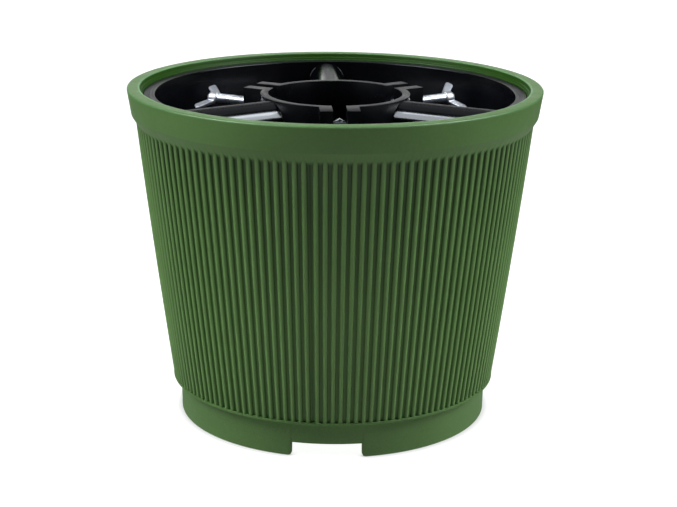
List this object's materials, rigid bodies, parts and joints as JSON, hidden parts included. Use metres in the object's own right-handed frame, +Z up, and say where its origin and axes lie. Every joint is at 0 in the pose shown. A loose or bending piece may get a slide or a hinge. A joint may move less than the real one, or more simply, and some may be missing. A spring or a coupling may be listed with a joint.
{
  "type": "christmas tree stand",
  "caption": "Ribbed round pot with a black insert whose slotted collar clamps a cut tree's trunk between wing screws",
  "frame": {"origin": "on the floor under the centre of the pot", "axes": "+Z up, -Y towards the front wing screw, +X to the right"},
  "size_m": [0.32, 0.32, 0.2589],
  "materials": {
    "green_plastic": "fine-grained satin moulded polypropylene",
    "black_plastic": "semi-gloss moulded polypropylene",
    "zinc_plate": "bright blue zinc plating"
  },
  "bodies": {
    "stand": {"pot": "green_plastic", "vessel": "black_plastic", "collar": "black_plastic", "trunk_spike": "zinc_plate", "arm_1": "black_plastic", "arm_2": "black_plastic", "arm_3": "black_plastic", "nut_1": "zinc_plate", "nut_2": "zinc_plate", "nut_3": "zinc_plate"},
    "screw_1": {"screw_1_shank": "zinc_plate"},
    "screw_2": {"screw_2_shank": "zinc_plate"},
    "screw_3": {"screw_3_shank": "zinc_plate"},
    "wing_head_1": {"screw_1_wings": "zinc_plate"},
    "wing_head_2": {"screw_2_wings": "zinc_plate"},
    "wing_head_3": {"screw_3_wings": "zinc_plate"}
  },
  "joints": [
    {"name": "screw_1_advance", "type": "slide", "parent": "stand", "child": "screw_1", "axis": [0, 1, 0], "range_m": [-0.008, 0.03]},
    {"name": "screw_1_turn", "type": "hinge", "parent": "screw_1", "child": "wing_head_1", "pos_m": [0, -0.105, 0.2384], "axis": [0, 1, 0], "range_deg": [-2304.5, 8640.5]},
    {"name": "screw_2_advance", "type": "slide", "parent": "stand", "child": "screw_2", "axis": [-0.866, -0.5, 0], "range_m": [-0.008, 0.03]},
    {"name": "screw_2_turn", "type": "hinge", "parent": "screw_2", "child": "wing_head_2", "pos_m": [0.09093, 0.0525, 0.2384], "axis": [-0.866, -0.5, 0], "range_deg": [-2304.5, 8640.5]},
    {"name": "screw_3_advance", "type": "slide", "parent": "stand", "child": "screw_3", "axis": [0.866, -0.5, 0], "range_m": [-0.008, 0.03]},
    {"name": "screw_3_turn", "type": "hinge", "parent": "screw_3", "child": "wing_head_3", "pos_m": [-0.09093, 0.0525, 0.2384], "axis": [0.866, -0.5, 0], "range_deg": [-2304.5, 8640.5]}
  ],
  "couplings": [
    {"joint": "screw_1_turn", "follows": "screw_1_advance", "rad_per_m": 5026.5},
    {"joint": "screw_2_turn", "follows": "screw_2_advance", "rad_per_m": 5026.5},
    {"joint": "screw_3_turn", "follows": "screw_3_advance", "rad_per_m": 5026.5}
  ]
}
